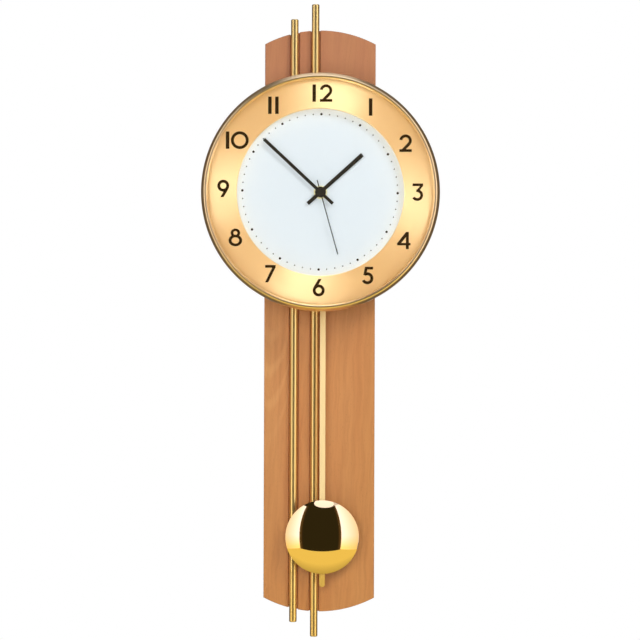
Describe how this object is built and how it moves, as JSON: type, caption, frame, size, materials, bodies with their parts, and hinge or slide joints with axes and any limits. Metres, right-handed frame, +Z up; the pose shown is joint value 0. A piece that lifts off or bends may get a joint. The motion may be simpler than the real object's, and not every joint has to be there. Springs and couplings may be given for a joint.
{
  "type": "pendulum wall clock",
  "caption": "Radio-controlled wall clock with a wooden back board, brass rods, a round glazed case with hour ring and hands, and a swinging pendulum with domed bob.",
  "frame": {"origin": "the point where the nail bears in the hanger's keyhole, on the plane of the wall", "axes": "+Z up along the board, +Y into the wall, +X to the right of someone who faces the clock"},
  "size_m": [0.25, 0.0828, 0.673],
  "materials": {
    "beech": "honey-stained beech veneer, satin lacquer, upright grain",
    "rod_brass": "drawn brass, polished",
    "strip_brass": "rolled brass strip, lightly brushed",
    "case_gold": "turned and polished, gold lacquer",
    "ring_gold": "circular-brushed, gold anodised",
    "bob_brass": "mirror polished, lacquered",
    "steel": "zinc plated",
    "dial_white": "matt cool-white lacquer on aluminium sheet",
    "hand_black": "pressed sheet, satin black lacquer",
    "clear_glass": "flat mineral glass",
    "housing_plastic": "moulded, fine spark texture",
    "wheel_plastic": "moulded acetal",
    "coil_copper": "enamelled copper wire, wound",
    "ferrite": "sintered ferrite",
    "laminate": "green solder resist",
    "battery_jacket": "plain foil jacket",
    "rubber": "moulded",
    "button_red": "moulded"
  },
  "bodies": {
    "case": {"back_board": "beech", "hanger_plate": "steel", "hanger_screw_left": "steel", "hanger_screw_right": "steel", "brass_rod_left": "rod_brass", "brass_rod_right": "rod_brass", "rod_post_left_top": "rod_brass", "rod_post_left_bottom": "rod_brass", "rod_post_right_top": "rod_brass", "rod_post_right_bottom": "rod_brass", "rod_screw_left_top": "steel", "rod_screw_left_bottom": "steel", "rod_screw_right_top": "steel", "rod_screw_right_bottom": "steel", "case_spacer_upper_left": "rod_brass", "case_spacer_upper_right": "rod_brass", "case_spacer_lower_left": "rod_brass", "case_spacer_lower_right": "rod_brass", "case_screw_upper_left": "steel", "case_screw_upper_right": "steel", "case_screw_lower_left": "steel", "case_screw_lower_right": "steel", "case_pan": "case_gold", "bezel_ring": "case_gold", "glass": "clear_glass", "chapter_ring": "ring_gold", "dial_disc": "dial_white", "movement_back": "housing_plastic", "movement_front": "housing_plastic", "dial_washer": "rubber", "centre_nut": "rod_brass", "battery": "battery_jacket", "battery_contact_plus": "steel", "battery_contact_minus": "steel", "circuit_board": "laminate", "antenna_rod": "ferrite", "antenna_coil": "coil_copper", "pendulum_coil": "coil_copper", "second_stator": "steel", "second_coil": "coil_copper", "minute_stator": "steel", "minute_coil": "coil_copper"},
    "second_arbor": {"second_wheel": "wheel_plastic", "second_hand": "hand_black"},
    "second_reduction": {"second_reduction_wheel": "wheel_plastic"},
    "second_motor_rotor": {"second_rotor": "ferrite"},
    "minute_cannon": {"minute_wheel": "wheel_plastic", "minute_hand": "hand_black"},
    "minute_reduction": {"minute_reduction_wheel": "wheel_plastic"},
    "minute_motor_rotor": {"minute_rotor": "ferrite"},
    "motion_work": {"motion_wheel": "wheel_plastic"},
    "hour_pipe": {"hour_wheel": "wheel_plastic", "hour_hand": "hand_black"},
    "pendulum": {"pendulum_lever": "wheel_plastic", "pendulum_magnet": "ferrite", "pendulum_strip": "strip_brass", "bob_shell": "bob_brass", "bob_back_plate": "steel"},
    "button": {"set_button": "button_red"}
  },
  "joints": [
    {"name": "second_spin", "type": "hinge", "parent": "case", "child": "second_arbor", "pos_m": [0.0005, 0, -0.115], "axis": [0, 1, 0], "continuous": true},
    {"name": "second_reduction_spin", "type": "hinge", "parent": "case", "child": "second_reduction", "pos_m": [-0.00924, 0, -0.10682], "axis": [0, 1, 0], "continuous": true},
    {"name": "second_rotor_spin", "type": "hinge", "parent": "case", "child": "second_motor_rotor", "pos_m": [-0.0197, 0, -0.10302], "axis": [0, 1, 0], "continuous": true},
    {"name": "minute_spin", "type": "hinge", "parent": "case", "child": "minute_cannon", "pos_m": [0.0005, 0, -0.115], "axis": [0, 1, 0], "continuous": true},
    {"name": "minute_reduction_spin", "type": "hinge", "parent": "case", "child": "minute_reduction", "pos_m": [-0.00924, 0, -0.12318], "axis": [0, 1, 0], "continuous": true},
    {"name": "minute_rotor_spin", "type": "hinge", "parent": "case", "child": "minute_motor_rotor", "pos_m": [-0.0197, 0, -0.12698], "axis": [0, 1, 0], "continuous": true},
    {"name": "motion_spin", "type": "hinge", "parent": "case", "child": "motion_work", "pos_m": [0.0125, 0, -0.115], "axis": [0, 1, 0], "continuous": true},
    {"name": "hour_spin", "type": "hinge", "parent": "case", "child": "hour_pipe", "pos_m": [0.0005, 0, -0.115], "axis": [0, 1, 0], "continuous": true},
    {"name": "pendulum_swing", "type": "hinge", "parent": "case", "child": "pendulum", "pos_m": [0.0035, 0, -0.081], "axis": [0, 1, 0], "range_deg": [-6, 6]},
    {"name": "set_press", "type": "slide", "parent": "case", "child": "button", "axis": [0, -1, 0], "range_m": [0, 0.0012], "stiffness_N_per_m": 400}
  ],
  "couplings": [
    {"joint": "second_reduction_spin", "follows": "second_spin", "ratio": -5},
    {"joint": "second_rotor_spin", "follows": "second_spin", "ratio": 30},
    {"joint": "minute_reduction_spin", "follows": "minute_spin", "ratio": -5},
    {"joint": "minute_rotor_spin", "follows": "minute_spin", "ratio": 30},
    {"joint": "motion_spin", "follows": "minute_spin", "ratio": -0.33333},
    {"joint": "hour_spin", "follows": "minute_spin", "ratio": 0.083333}
  ]
}
